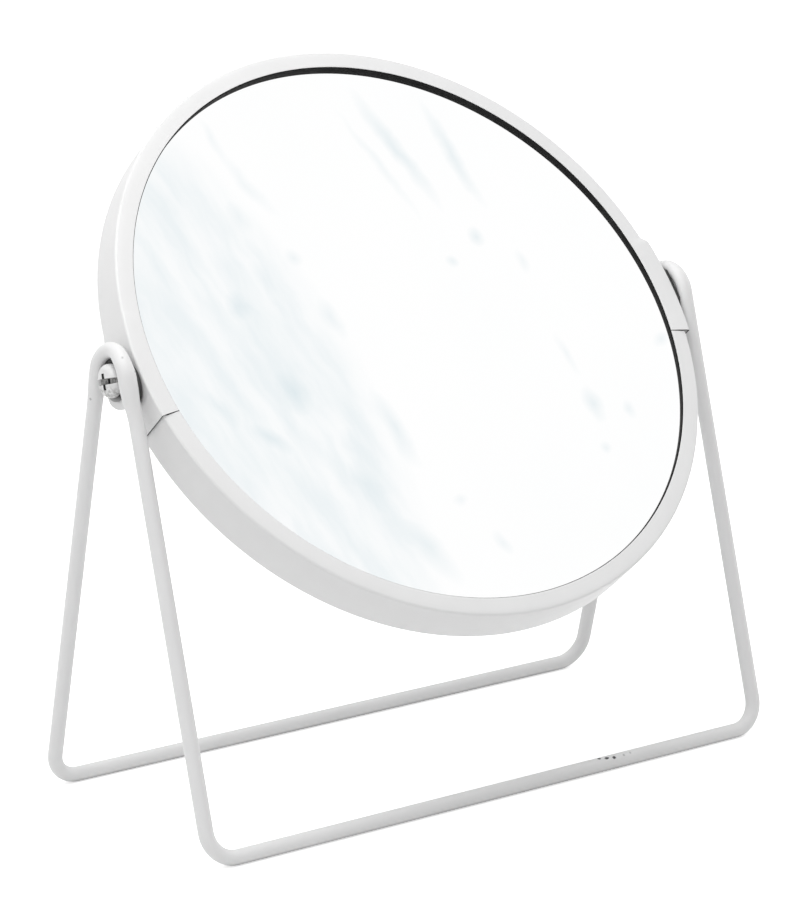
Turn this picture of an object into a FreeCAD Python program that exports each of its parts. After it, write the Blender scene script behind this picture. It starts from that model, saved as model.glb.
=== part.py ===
import FreeCAD, Part
import Sketcher
import math
import os

# Makeup mirror: a round two-sided mirror in a split channel rim, hung between
# the eyes of a stand that is bent from one loop of round wire.
# Millimetres. X runs along the pivot axis, -Y is the front and Z is up.
# The origin is on the table, below the middle of the pivot axis.

SIZES = [
    # Stand
    ("wire_diameter", 4.0, "Round wire of the stand"),
    ("stand_depth", 79.0, "Front bar to rear bar, between centrelines"),
    ("pivot_height", 117.4, "Table to pivot axis"),
    ("corner_bend_radius", 7.8, "Wire centreline at the four bottom corners"),
    # Pivots
    ("pivot_plate_diameter", 11.0, "Round top of the pivot plate, inside the eye"),
    ("pivot_plate_tail", 2.1, "Lower edge of the pivot plate below that round"),
    ("pivot_plate_thickness", 1.5, "Pivot plate"),
    ("braze_gap", 0.1, "Between pivot plate and wire"),
    ("running_gap", 0.1, "Between faces that turn on each other"),
    ("washer_diameter", 12.0, "Friction washer"),
    ("washer_thickness", 1.1, "Friction washer"),
    ("screw_diameter", 4.0, "Pivot screw shank"),
    ("screw_running_clearance", 0.1, "Shank to pivot plate, on the radius"),
    ("screw_hole_clearance", 0.15, "Shank to rim and washer holes, on the radius"),
    ("thread_clearance", 0.05, "Shank to nut plate, on the radius"),
    ("screw_tip_length", 0.1, "Screw past the nut plate"),
    ("screw_head_diameter", 9.0, "Pan head"),
    ("screw_head_edge", 1.5, "Straight edge of the pan head"),
    ("screw_head_dome", 1.2, "Dome of the pan head above its edge"),
    ("recess_width", 1.8, "Slot and cross arm of the driver recess"),
    ("recess_cross_length", 4.4, "Cross arm of the driver recess"),
    ("recess_depth", 1.6, "Driver recess below the top of the dome"),
    ("recess_turn_deg", 14.4, "Front end of the slot above level, as stored"),
    ("nut_plate_thickness", 1.2, "Tapped plate inside the rim"),
    ("nut_plate_length", 16.0, "Tapped plate, along the rim"),
    ("nut_plate_side_clearance", 0.15, "Tapped plate to the gaskets, each side"),
    ("spring_washer_inset", 0.1, "Spring washer inside the round of the pivot plate"),
    ("spring_washer_sheet", 0.4, "Spring washer"),
    ("spring_washer_bow", 0.3, "Bow left in the spring washer when screwed down"),
    # Rim
    ("mirror_tilt_deg", 39.4, "Mirror leaned back from upright, as stored"),
    ("rim_diameter", 170.0, "Outside of the rim"),
    ("rim_depth", 13.0, "Front face to rear face"),
    ("rim_sheet", 0.5, "Sheet metal of the rim"),
    ("rim_flange_width", 4.8, "Outside of the rim to the edge of its lip"),
    ("rim_bend_radius", 0.15, "Inside of the channel's two bends"),
    ("socket_length", 29.4, "Joggled end of the upper rim, along the rim"),
    ("joggle_length", 3.0, "Slope at the upper end of a socket"),
    ("socket_clearance", 0.5, "Socket to the lower rim inside it"),
    ("socket_end_gap", 1.0, "End of the lower rim to the joggle"),
    ("socket_lip_width", 1.0, "Lip of a socket, pressed down level with the other lips"),
    ("socket_lip_rise", 1.0, "Slope from that lip up to the face of the socket"),
    ("lip_seam", 0.4, "Open seam between the lips of the two halves"),
    # Glass stack, front to back
    ("gasket_thickness", 0.75, "Gasket between lip and glass"),
    ("gasket_collar", 0.15, "Gasket's collar inside the edge of the lip"),
    ("gasket_edge_recess", 0.4, "Collar below the face of the rim"),
    ("lip_clearance", 0.05, "Collar to the edge of the lip"),
    ("glass_edge_clearance", 0.3, "Both glasses to the tips of the screws"),
    ("glass_thickness", 2.0, "Both glasses"),
    ("board_thickness", 0.8, "Backing board"),
    ("board_inset", 0.5, "Backing board inside the edge of the glass"),
    ("spacer_width", 5.0, "Spacer ring, on the radius"),
    ("magnifier_clearance", 1.1, "Middle of the magnifying glass to the backing board"),
]

doc = FreeCAD.newDocument("MakeupMirror")
sheet = doc.addObject("Spreadsheet::Sheet", "Sizes")
for row, (alias, value, note) in enumerate(SIZES, start=1):
    sheet.set(f"A{row}", note)
    sheet.set(f"B{row}", str(value))
    sheet.setAlias(f"B{row}", alias)
doc.recompute()


def size(alias):
    return f"Sizes.{alias}"


def half(alias):
    return f"Sizes.{alias} / 2"


def number(expression):
    return float(sheet.evalExpression(expression.replace("Sizes.", "")))


# Sizes that follow from the driving ones, as expressions.
wire_radius = f"({half('wire_diameter')})"
plate_radius = f"({half('pivot_plate_diameter')})"
eye_radius = f"({plate_radius} + {size('braze_gap')} + {wire_radius})"
bar_drop = f"({size('pivot_height')} - {wire_radius})"
bar_offset = f"({half('stand_depth')})"
bar_reach = f"sqrt({bar_drop} ^ 2 + {bar_offset} ^ 2)"
leg_lean = f"(atan({bar_offset} / {bar_drop}) - asin({eye_radius} / {bar_reach}))"
leg_length = f"sqrt({bar_reach} ^ 2 - {eye_radius} ^ 2)"

rim_radius = f"({half('rim_diameter')})"
rim_half_depth = f"({half('rim_depth')})"
lip_radius = f"({rim_radius} - {size('rim_flange_width')})"
wall_inside = f"({rim_radius} - {size('rim_sheet')})"
lip_inside = f"({rim_half_depth} - {size('rim_sheet')})"
socket_grow = f"({size('socket_clearance')} + {size('rim_sheet')})"
per_length_deg = f"(180 / (pi * {rim_radius}))"
socket_half_deg = f"({half('socket_length')} * {per_length_deg})"
joggle_deg = f"({size('joggle_length')} * {per_length_deg})"
end_gap_deg = f"({size('socket_end_gap')} * {per_length_deg})"
seam_deg = f"({size('lip_seam')} * {per_length_deg})"
lip_press_end = f"({lip_radius} + {size('socket_lip_width')})"
lip_rise_end = f"({lip_press_end} + {size('socket_lip_rise')})"

# Stations along the pivot axis, from the rim outwards.
washer_inner = f"({rim_radius} + {socket_grow})"
washer_outer = f"({washer_inner} + {size('washer_thickness')})"
plate_inner = f"({washer_outer} + {size('running_gap')})"
plate_face = f"({plate_inner} + {size('pivot_plate_thickness')})"
wire_plane = f"({plate_inner} + {wire_radius})"
spring_edge = f"({plate_face} + {size('running_gap')})"
spring_crown = f"({spring_edge} + {size('spring_washer_bow')})"
head_seat = f"({spring_crown} + {size('spring_washer_sheet')})"
head_edge = f"({head_seat} + {size('screw_head_edge')})"
head_top = f"({head_edge} + {size('screw_head_dome')})"
nut_inner = f"({wall_inside} - {size('nut_plate_thickness')})"
screw_tip = f"({nut_inner} - {size('screw_tip_length')})"
screw_radius = f"({half('screw_diameter')})"

# Stations along the mirror's own axis, from its middle plane to the front.
glass_front = f"({lip_inside} - {size('gasket_thickness')})"
glass_back = f"({glass_front} - {size('glass_thickness')})"
board_back = f"({glass_back} - {size('board_thickness')})"
glass_radius = f"({screw_tip} - {size('glass_edge_clearance')})"
spacer_bore = f"({glass_radius} - {size('spacer_width')})"


def new_body(name):
    body = doc.addObject("PartDesign::Body", name)
    body.Label = name
    return body


def plane_of(body, role):
    return next(item for item in body.Origin.OriginFeatures if item.Role == role)


def new_sketch(body, role, name):
    sketch = body.newObject("Sketcher::SketchObject", name)
    sketch.AttachmentSupport = [(plane_of(body, role), "")]
    sketch.MapMode = "FlatFace"
    return sketch


def set_off(sketch, y="0", z="0", axis=FreeCAD.Vector(0, 0, 1), angle="0"):
    """Move and turn a sketch in the frame of the plane that it is attached to."""
    turn = FreeCAD.Rotation(axis, number(angle))
    sketch.AttachmentOffset = FreeCAD.Placement(FreeCAD.Vector(0, number(y), number(z)), turn)
    for path, expression in (("Base.y", y), ("Base.z", z), ("Rotation.Angle", angle)):
        sketch.setExpression(f"AttachmentOffset.{path}", expression)


def pin_point(sketch, geometry, position, x, y):
    """Hold a point of the sketch at x, y from the origin."""
    for kind, expression in (("DistanceX", x), ("DistanceY", y)):
        held = Sketcher.Constraint(kind, -1, 1, geometry, position, number(expression))
        sketch.setExpression(f"Constraints[{sketch.addConstraint(held)}]", expression)


def arc_between(first, last, radius, side):
    """Arc under a half turn, whose centre lies left (1) or right (-1) of the way along it."""
    chord = last - first
    left = FreeCAD.Vector(-chord.y, chord.x, 0).normalize()
    rise = math.sqrt(max(radius ** 2 - (chord.Length / 2) ** 2, 0))
    centre = (first + last) / 2 + left * (side * rise)
    ends = [math.atan2(point.y - centre.y, point.x - centre.x) for point in (first, last)]
    circle = Part.Circle(centre, FreeCAD.Vector(0, 0, 1), radius)
    return Part.ArcOfCircle(circle, *(ends if side > 0 else reversed(ends)))


def draw_outline(sketch, corners, closed=True):
    """Draw lines and arcs through corners (x, y) or (x, y, (arc radius, side)) to the next one."""
    points = [FreeCAD.Vector(number(corner[0]), number(corner[1]), 0) for corner in corners]
    count = len(corners) if closed else len(corners) - 1
    ends = []
    for index in range(count):
        first = points[index]
        last = points[(index + 1) % len(points)]
        if len(corners[index]) == 3:
            radius, side = corners[index][2]
            geometry = sketch.addGeometry(arc_between(first, last, number(radius), side), False)
            held = Sketcher.Constraint("Radius", geometry, number(radius))
            sketch.setExpression(f"Constraints[{sketch.addConstraint(held)}]", radius)
            ends.append((geometry, 1, 2) if side > 0 else (geometry, 2, 1))
        else:
            geometry = sketch.addGeometry(Part.LineSegment(first, last), False)
            ends.append((geometry, 1, 2))
    for index, (geometry, start, finish) in enumerate(ends):
        pin_point(sketch, geometry, start, *corners[index][:2])
        if closed or index + 1 < count:
            following, begin, _ = ends[(index + 1) % count]
            sketch.addConstraint(Sketcher.Constraint("Coincident", geometry, finish, following, begin))
    if not closed:
        pin_point(sketch, ends[-1][0], ends[-1][2], *corners[-1][:2])


def draw_circle(sketch, x, y, radius):
    centre = FreeCAD.Vector(number(x), number(y), 0)
    circle = Part.Circle(centre, FreeCAD.Vector(0, 0, 1), number(radius))
    geometry = sketch.addGeometry(circle, False)
    held = Sketcher.Constraint("Radius", geometry, number(radius))
    sketch.setExpression(f"Constraints[{sketch.addConstraint(held)}]", radius)
    pin_point(sketch, geometry, 3, x, y)


def revolve(body, sketch, axis, name, angle=None):
    """Turn a sketch about its own axis, all round or half of angle to each side."""
    feature = body.newObject("PartDesign::Revolution", name)
    feature.Profile = sketch
    feature.ReferenceAxis = (sketch, [axis])
    feature.Angle = 360
    if angle:
        feature.Midplane = True
        feature.setExpression("Angle", angle)
    body.Tip = feature
    return feature


def cut_through(body, sketch, name):
    """Cut a sketch through the whole body, both ways."""
    feature = body.newObject("PartDesign::Pocket", name)
    feature.Profile = sketch
    feature.Type = "ThroughAll"
    feature.Midplane = True
    body.Tip = feature
    return feature


def mirror_features(body, originals, role, name):
    feature = body.newObject("PartDesign::Mirrored", name)
    feature.Originals = originals
    feature.MirrorPlane = (plane_of(body, role), [""])
    body.Tip = feature
    return feature


def hang_on_pivot(body, angle):
    """Lift a body to the pivot axis and lean it back."""
    lean = FreeCAD.Rotation(FreeCAD.Vector(-1, 0, 0), number(angle))
    body.Placement = FreeCAD.Placement(FreeCAD.Vector(0, 0, number(size("pivot_height"))), lean)
    body.setExpression("Placement.Base.z", size("pivot_height"))
    body.setExpression("Placement.Rotation.Angle", angle)


def build_stand():
    """One loop of wire: two leaning U frames joined by an eye at each side."""
    body = new_body("stand_wire")
    frame_path = new_sketch(body, "XZ_Plane", "frame_path")
    lean_back = FreeCAD.Vector(-1, 0, 0)
    set_off(frame_path, wire_radius, bar_offset, lean_back, leg_lean)
    bend = size("corner_bend_radius")
    draw_outline(frame_path, [
        (wire_plane, leg_length),
        (wire_plane, bend, (bend, -1)),
        (f"{wire_plane} - {bend}", "0"),
        (f"-({wire_plane} - {bend})", "0", (bend, -1)),
        (f"-{wire_plane}", bend),
        (f"-{wire_plane}", leg_length),
    ], closed=False)

    leg_end = new_sketch(body, "XY_Plane", "leg_end")
    top_offset = f"-({eye_radius} * cos({leg_lean}))"
    top_height = f"{size('pivot_height')} + {eye_radius} * sin({leg_lean})"
    set_off(leg_end, top_offset, top_height, lean_back, leg_lean)
    draw_circle(leg_end, wire_plane, "0", wire_radius)

    front_frame = body.newObject("PartDesign::AdditivePipe", "front_frame")
    front_frame.Profile = leg_end
    front_frame.Spine = (frame_path, [f"Edge{edge + 1}" for edge in range(frame_path.GeometryCount)])
    body.Tip = front_frame

    eye_section = new_sketch(body, "XZ_Plane", "eye_section")
    set_off(eye_section, y=size("pivot_height"))
    for side in ("", "-"):
        draw_circle(eye_section, f"{side}{wire_plane}", eye_radius, wire_radius)
    revolve(body, eye_section, "H_Axis", "eyes", f"180 deg - 2 * {leg_lean}")
    mirror_features(body, [front_frame], "XZ_Plane", "rear_frame")
    return body


def build_pivot_plate(name, side):
    """Plate brazed into an eye: round at the top, along the legs at its sides, with a round tail."""
    body = new_body(name)
    shield = new_sketch(body, "YZ_Plane", f"{name}_shield")
    set_off(shield, z=f"{side}{plate_inner}")
    tail = f"({plate_radius} + {size('pivot_plate_tail')})"
    side_length = f"sqrt({tail} ^ 2 - {plate_radius} ^ 2)"
    top_y = f"({plate_radius} * cos({leg_lean}))"
    top_z = f"({plate_radius} * sin({leg_lean}))"
    low_y = f"({top_y} + {side_length} * sin({leg_lean}))"
    low_z = f"({top_z} - {side_length} * cos({leg_lean}))"
    draw_outline(shield, [
        (top_y, top_z, (plate_radius, 1)),
        (f"-{top_y}", top_z),
        (f"-{low_y}", low_z, (tail, 1)),
        (low_y, low_z),
    ])
    draw_circle(shield, "0", "0", f"{screw_radius} + {size('screw_running_clearance')}")
    plate = body.newObject("PartDesign::Pad", f"{name}_cut")
    plate.Profile = shield
    plate.setExpression("Length", size("pivot_plate_thickness"))
    plate.Reversed = bool(side)
    body.Tip = plate
    hang_on_pivot(body, "0")
    return body


def draw_channel(body, name, angle, grow):
    """U section of the rim at an angle above the pivot axis. A joggle grows all of it but its lips."""
    sketch = new_sketch(body, "XY_Plane", name)
    set_off(sketch, axis=FreeCAD.Vector(0, -1, 0), angle=angle)
    sheet_thickness = size("rim_sheet")
    inside_bend = size("rim_bend_radius")
    outside_bend = f"({inside_bend} + {sheet_thickness})"
    wall = f"({rim_radius} + {grow})"
    face = f"({rim_half_depth} + {grow})"
    bend_radial = f"({wall} - {outside_bend})"
    bend_axial = f"({face} - {outside_bend})"
    inner_face = f"({face} - {sheet_thickness})"
    inner_wall = f"({wall} - {sheet_thickness})"
    draw_outline(sketch, [
        (lip_radius, f"-{rim_half_depth}"),
        (lip_press_end, f"-{rim_half_depth}"),
        (lip_rise_end, f"-{face}"),
        (bend_radial, f"-{face}", (outside_bend, 1)),
        (wall, f"-{bend_axial}"),
        (wall, bend_axial, (outside_bend, 1)),
        (bend_radial, face),
        (lip_rise_end, face),
        (lip_press_end, rim_half_depth),
        (lip_radius, rim_half_depth),
        (lip_radius, lip_inside),
        (lip_press_end, lip_inside),
        (lip_rise_end, inner_face),
        (bend_radial, inner_face, (inside_bend, -1)),
        (inner_wall, bend_axial),
        (inner_wall, f"-{bend_axial}", (inside_bend, -1)),
        (bend_radial, f"-{inner_face}"),
        (lip_rise_end, f"-{inner_face}"),
        (lip_press_end, f"-{lip_inside}"),
        (lip_radius, f"-{lip_inside}"),
    ])
    return sketch


def drill_for_screws(body, name):
    hole = new_sketch(body, "YZ_Plane", f"{name}_sketch")
    draw_circle(hole, "0", "0", f"{screw_radius} + {size('screw_hole_clearance')}")
    cut_through(body, hole, name)


def build_rim_upper():
    """Upper half of the rim, with both ends joggled out into sockets."""
    body = new_body("rim_upper")
    socket_top = f"({socket_half_deg} - {joggle_deg})"
    arch = draw_channel(body, "arch_section", "90", "0")
    revolve(body, arch, "V_Axis", "arch", f"180 - 2 * {socket_half_deg}")
    joggle_start = draw_channel(body, "joggle_start", socket_half_deg, "0")
    joggle_end = draw_channel(body, "joggle_end", socket_top, socket_grow)
    joggle = body.newObject("PartDesign::AdditiveLoft", "joggle")
    joggle.Profile = joggle_start
    joggle.Sections = [joggle_end]
    joggle.Ruled = True
    body.Tip = joggle
    socket_middle = f"(-{joggle_deg} / 2)"
    socket = draw_channel(body, "socket_section", socket_middle, socket_grow)
    socket_turned = revolve(body, socket, "V_Axis", "socket", f"2 * {socket_half_deg} - {joggle_deg}")
    mirror_features(body, [joggle, socket_turned], "YZ_Plane", "left_end")
    drill_for_screws(body, "upper_screw_holes")
    hang_on_pivot(body, size("mirror_tilt_deg"))
    return body


def build_rim_lower():
    """Lower half of the rim. Its ends lose their lips and reach up into the sockets as tongues."""
    body = new_body("rim_lower")
    inserted = f"({socket_half_deg} - {joggle_deg} - {end_gap_deg})"
    bow = draw_channel(body, "bow_section", "-90", "0")
    revolve(body, bow, "V_Axis", "bow", f"180 + 2 * {inserted}")
    trimmed = new_sketch(body, "XY_Plane", "trimmed_lips")
    tongue_edge = f"({lip_rise_end} + {size('socket_clearance')})"
    lip_clear = f"({lip_radius} - {size('socket_clearance')})"
    face_clear = f"({rim_half_depth} + {size('socket_clearance')})"
    draw_outline(trimmed, [
        (lip_clear, f"-{face_clear}"), (tongue_edge, f"-{face_clear}"),
        (tongue_edge, face_clear), (lip_clear, face_clear),
    ])
    trim = body.newObject("PartDesign::Groove", "right_tongue")
    trim.Profile = trimmed
    trim.ReferenceAxis = (trimmed, ["V_Axis"])
    trim.Midplane = True
    trim.setExpression("Angle", f"2 * ({socket_half_deg} + {seam_deg})")
    body.Tip = trim
    mirror_features(body, [trim], "YZ_Plane", "left_tongue")
    drill_for_screws(body, "lower_screw_holes")
    hang_on_pivot(body, size("mirror_tilt_deg"))
    return body


def build_screw(name, side):
    """Pan-head screw with a slot right across its head and a short cross arm."""
    body = new_body(name)
    profile = new_sketch(body, "XY_Plane", f"{name}_profile")
    head_radius = half("screw_head_diameter")
    dome = size("screw_head_dome")
    dome_radius = f"(({head_radius}) ^ 2 + {dome} ^ 2) / (2 * {dome})"
    draw_outline(profile, [
        (f"{side}{screw_tip}", "0"),
        (f"{side}{screw_tip}", screw_radius),
        (f"{side}{head_seat}", screw_radius),
        (f"{side}{head_seat}", head_radius),
        (f"{side}{head_edge}", head_radius, (dome_radius, 1 if side else -1)),
        (f"{side}{head_top}", "0"),
    ])
    revolve(body, profile, "H_Axis", f"{name}_turned")
    doc.recompute()

    recess = new_sketch(body, "YZ_Plane", f"{name}_recess")
    set_off(recess, z=f"{side}{head_top}", angle=f"-{size('recess_turn_deg')}")
    arm = half("recess_width")
    slot = f"({head_radius} + {arm})"
    cross = half("recess_cross_length")
    draw_outline(recess, [
        (slot, f"-{arm}"), (slot, arm), (arm, arm), (arm, cross),
        (f"-{arm}", cross), (f"-{arm}", arm), (f"-{slot}", arm), (f"-{slot}", f"-{arm}"),
        (f"-{arm}", f"-{arm}"), (f"-{arm}", f"-{cross}"), (arm, f"-{cross}"), (arm, f"-{arm}"),
    ])
    pocket = body.newObject("PartDesign::Pocket", f"{name}_driver")
    pocket.Profile = recess
    pocket.setExpression("Length", size("recess_depth"))
    pocket.Reversed = bool(side)
    body.Tip = pocket
    hang_on_pivot(body, "0")
    return body


def build_washer(name, side):
    """Friction washer between pivot plate and rim."""
    body = new_body(name)
    profile = new_sketch(body, "XY_Plane", f"{name}_profile")
    bore = f"{screw_radius} + {size('screw_hole_clearance')}"
    draw_outline(profile, [
        (f"{side}{washer_inner}", bore),
        (f"{side}{washer_inner}", half("washer_diameter")),
        (f"{side}{washer_outer}", half("washer_diameter")),
        (f"{side}{washer_outer}", bore),
    ])
    revolve(body, profile, "H_Axis", f"{name}_turned")
    hang_on_pivot(body, size("mirror_tilt_deg"))
    return body


def build_spring_washer(name, side):
    """Bowed washer under a screw head: its crown holds the head, its ends press the plate."""
    body = new_body(name)
    strip = new_sketch(body, "XY_Plane", f"{name}_strip")
    reach = f"({plate_radius} - {size('spring_washer_inset')})"
    bow = size("spring_washer_bow")
    inner_bow = f"(({reach} ^ 2 + {bow} ^ 2) / (2 * {bow}))"
    outer_bow = f"({inner_bow} + {size('spring_washer_sheet')})"
    outer_edge = f"({spring_crown} - {inner_bow} + sqrt({outer_bow} ^ 2 - {reach} ^ 2))"
    turn = -1 if side else 1
    draw_outline(strip, [
        (f"{side}{spring_edge}", f"-{reach}"),
        (f"{side}{outer_edge}", f"-{reach}", (outer_bow, turn)),
        (f"{side}{outer_edge}", reach),
        (f"{side}{spring_edge}", reach, (inner_bow, -turn)),
    ])
    bowed = body.newObject("PartDesign::Pad", f"{name}_bowed")
    bowed.Profile = strip
    bowed.Midplane = True
    bowed.setExpression("Length", f"2 * {reach}")
    body.Tip = bowed

    blank = new_sketch(body, "YZ_Plane", f"{name}_blank")
    draw_outline(blank, [
        (f"-2 * {reach}", f"-2 * {reach}"), (f"2 * {reach}", f"-2 * {reach}"),
        (f"2 * {reach}", f"2 * {reach}"), (f"-2 * {reach}", f"2 * {reach}"),
    ])
    draw_circle(blank, "0", "0", reach)
    draw_circle(blank, "0", "0", f"{screw_radius} + {size('screw_hole_clearance')}")
    cut_through(body, blank, f"{name}_punched")
    hang_on_pivot(body, "0")
    return body


def build_nut_plate(name, side):
    """Tapped plate, curved to lie on the inside of the rim's wall."""
    body = new_body(name)
    section = new_sketch(body, "XY_Plane", f"{name}_section")
    width = f"({glass_front} - {size('nut_plate_side_clearance')})"
    draw_outline(section, [
        (f"{side}{nut_inner}", f"-{width}"),
        (f"{side}{wall_inside}", f"-{width}"),
        (f"{side}{wall_inside}", width),
        (f"{side}{nut_inner}", width),
    ])
    revolve(body, section, "V_Axis", f"{name}_curved", f"{size('nut_plate_length')} * {per_length_deg}")
    hole = new_sketch(body, "YZ_Plane", f"{name}_thread")
    draw_circle(hole, "0", "0", f"{screw_radius} + {size('thread_clearance')}")
    cut_through(body, hole, f"{name}_tapped")
    hang_on_pivot(body, size("mirror_tilt_deg"))
    return body


def build_ring(name, corners):
    """Ring or disc turned about the mirror's axis from corners (radius, distance to the rear)."""
    body = new_body(name)
    profile = new_sketch(body, "XY_Plane", f"{name}_profile")
    draw_outline(profile, corners)
    revolve(body, profile, "V_Axis", f"{name}_turned")
    hang_on_pivot(body, size("mirror_tilt_deg"))
    return body


def build_gasket(name, facing):
    """Gasket under a lip, with a thin collar inside the lip's edge."""
    collar_outside = f"({lip_radius} - {size('lip_clearance')})"
    collar_inside = f"({collar_outside} - {size('gasket_collar')})"
    outside = f"({wall_inside} - {size('rim_bend_radius')})"
    edge = f"({rim_half_depth} - {size('gasket_edge_recess')})"
    return build_ring(name, [
        (collar_inside, f"{facing}{glass_front}"),
        (outside, f"{facing}{glass_front}"),
        (outside, f"{facing}{lip_inside}"),
        (collar_outside, f"{facing}{lip_inside}"),
        (collar_outside, f"{facing}{edge}"),
        (collar_inside, f"{facing}{edge}"),
    ])


def build_glass_stack():
    """Everything between the two lips, front to back. The front is -Y."""
    board_radius = f"({glass_radius} - {size('board_inset')})"
    inner_centre = f"({size('magnifier_clearance')} - {board_back})"
    rear_sag = f"({glass_front} - {inner_centre} - {size('glass_thickness')})"
    curve = f"(({glass_radius} ^ 2 + {rear_sag} ^ 2) / (2 * {rear_sag}))"
    back_curve = f"({curve} + {size('glass_thickness')})"
    inner_sag = f"({back_curve} - sqrt({back_curve} ^ 2 - {glass_radius} ^ 2))"
    spacer_sag = f"({back_curve} - sqrt({back_curve} ^ 2 - {spacer_bore} ^ 2))"
    spacer_rear = f"({inner_centre} + {spacer_sag})"
    return [
        build_gasket("front_gasket", "-"),
        build_ring("flat_glass", [
            ("0", f"-{glass_front}"), (glass_radius, f"-{glass_front}"),
            (glass_radius, f"-{glass_back}"), ("0", f"-{glass_back}"),
        ]),
        build_ring("backing_board", [
            ("0", f"-{glass_back}"), (board_radius, f"-{glass_back}"),
            (board_radius, f"-{board_back}"), ("0", f"-{board_back}"),
        ]),
        build_ring("spacer_ring", [
            (spacer_bore, f"-{board_back}"), (board_radius, f"-{board_back}"),
            (board_radius, spacer_rear), (spacer_bore, spacer_rear),
        ]),
        build_ring("magnifying_glass", [
            ("0", inner_centre, (back_curve, 1)),
            (glass_radius, f"{inner_centre} + {inner_sag}"),
            (glass_radius, glass_front, (curve, -1)),
            ("0", f"{glass_front} - {rear_sag}"),
        ]),
        build_gasket("rear_gasket", ""),
    ]


bodies = [build_stand(), build_rim_upper(), build_rim_lower()]
for hand, side in (("left", "-"), ("right", "")):
    bodies.append(build_pivot_plate(f"pivot_plate_{hand}", side))
    bodies.append(build_screw(f"pivot_screw_{hand}", side))
    bodies.append(build_spring_washer(f"spring_washer_{hand}", side))
    bodies.append(build_washer(f"friction_washer_{hand}", side))
    bodies.append(build_nut_plate(f"nut_plate_{hand}", side))
bodies.extend(build_glass_stack())
doc.recompute()

for item in doc.Objects:
    if "Invalid" in item.State or "Error" in item.State:
        raise RuntimeError(f"{item.Name} failed: {item.State}")
for body in bodies:
    if body.Shape.isNull() or not body.Shape.isValid() or len(body.Shape.Solids) != 1:
        raise RuntimeError(f"{body.Label} is not one valid solid")

os.makedirs("parts", exist_ok=True)
for body in bodies:
    body.Shape.exportStep(f"parts/{body.Label}.step")
    print(body.Label, round(body.Shape.Volume, 2))
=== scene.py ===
from math import asin, atan2, cos, hypot, pi, radians, sin, sqrt

import bmesh
import bpy
from mathutils import Matrix, Vector


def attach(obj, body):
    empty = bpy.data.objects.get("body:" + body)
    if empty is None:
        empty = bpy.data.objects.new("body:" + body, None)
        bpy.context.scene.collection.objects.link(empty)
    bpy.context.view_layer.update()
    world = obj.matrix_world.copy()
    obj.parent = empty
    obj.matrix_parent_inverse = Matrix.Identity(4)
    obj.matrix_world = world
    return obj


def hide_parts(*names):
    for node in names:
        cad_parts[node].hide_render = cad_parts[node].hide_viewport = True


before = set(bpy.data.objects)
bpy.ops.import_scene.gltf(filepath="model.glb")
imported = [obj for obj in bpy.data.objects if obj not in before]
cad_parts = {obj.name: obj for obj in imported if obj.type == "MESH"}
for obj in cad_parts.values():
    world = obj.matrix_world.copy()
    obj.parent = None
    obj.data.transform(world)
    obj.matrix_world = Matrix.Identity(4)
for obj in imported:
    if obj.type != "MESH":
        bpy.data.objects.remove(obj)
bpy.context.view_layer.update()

# Looks of a white makeup mirror on a bent-wire stand. Pieces are shaped in
# millimetres, in the frame of the solids, and brought to metres when finished.
MM = 0.001
MERGE_DISTANCE = 0.002
TOUCHING = 0.01
SHARP_EDGE = 1.0
FLAT_ANGLE = 0.01
X_AXIS = Vector((1, 0, 0))
Y_AXIS = Vector((0, 1, 0))
Z_AXIS = Vector((0, 0, 1))

# Stand
WIRE_RADIUS = 2.0
WIRE_SIDES = 40
PIVOT_HEIGHT = 117.4
PIVOT_PLACE = Matrix.Translation((0, 0, PIVOT_HEIGHT))
WIRE_PLANE = 89.2
BAR_OFFSET = 39.5
CORNER_RADIUS = 7.8
EYE_RADIUS = 7.6
BAR_REACH = hypot(PIVOT_HEIGHT - WIRE_RADIUS, BAR_OFFSET)
LEG_LEAN = atan2(BAR_OFFSET, PIVOT_HEIGHT - WIRE_RADIUS) - asin(EYE_RADIUS / BAR_REACH)
LEG_LENGTH = sqrt(BAR_REACH ** 2 - EYE_RADIUS ** 2)
LEG_CUTS = 40
EYE_STEPS = 40
WELD_AT = 36.0

# Left eye: how far its wire is worked, and the heights from the pivot and the
# distances aside over which that comes in and goes out again
SHOULDER_SWELL = 0.36
SHOULDER_IN = (-8, 0)
SHOULDER_OUT = (2, 8)
SHOULDER_ASIDE = (1, 5)
EYE_BOW = 0.56
BOW_IN = (-8.5, -3)
BOW_OUT = (5, 10)
BOW_ASIDE = (0, 4)
EYE_CLEAR = 5.5

# Pivots, as stations along the pivot axis from the rim outwards
SCREW_RADIUS = 2.0
SCREW_CLEARANCE = 0.1
WASHER_FLAT = 6.4
WASHER_ROUND = 0.1
PLATE_INNER = 87.2
PLATE_FACE = 88.7
PLATE_RADIUS = 5.5
PLATE_TAIL = 7.6
PLATE_SIDE = 4.4
PLATE_TAIL_TURN = radians(64)
PLATE_EDGE = 0.2
SCREW_TIP = 83.2
HEAD_SEAT = 89.5
HEAD_EDGE = 91.75
HEAD_TOP = 92.2
HEAD_RADIUS = 4.3
HEAD_FLAT = 2.2
TIP_ROUND = 0.3
SEAT_ROUND = 0.2
EDGE_ROUND = 1.3
TOP_ROUND = 0.9
SLOT_WIDTH = 1.8
SLOT_LENGTH = 2 * HEAD_RADIUS + SLOT_WIDTH
SLOT_DEPTH = 1.6
CROSS_WIDTH = 1.4
CROSS_LENGTH = 4.4
CROSS_DEPTH = 2.3
RECESS_TURN = radians(-14.4)
RECESS_TAPER = (1, 0.9, 0.7)
RECESS_EDGE = 0.08
RECESS_SHARP = radians(40)

# Friction washers: inner face, outer face, radius of the bore, radius, and hang in the head's own frame
# Their black, made wide and on the left hung low, is partly painted shade between the eyes and the rim
WASHER_SHAPES = {
    "left": (85.6, 86.75, 4.3, 6.0, (0, 0, -2.2)),
    "right": (86.2, 87.1, 2.15, 7.8, (0, 0, 0)),
}

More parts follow.
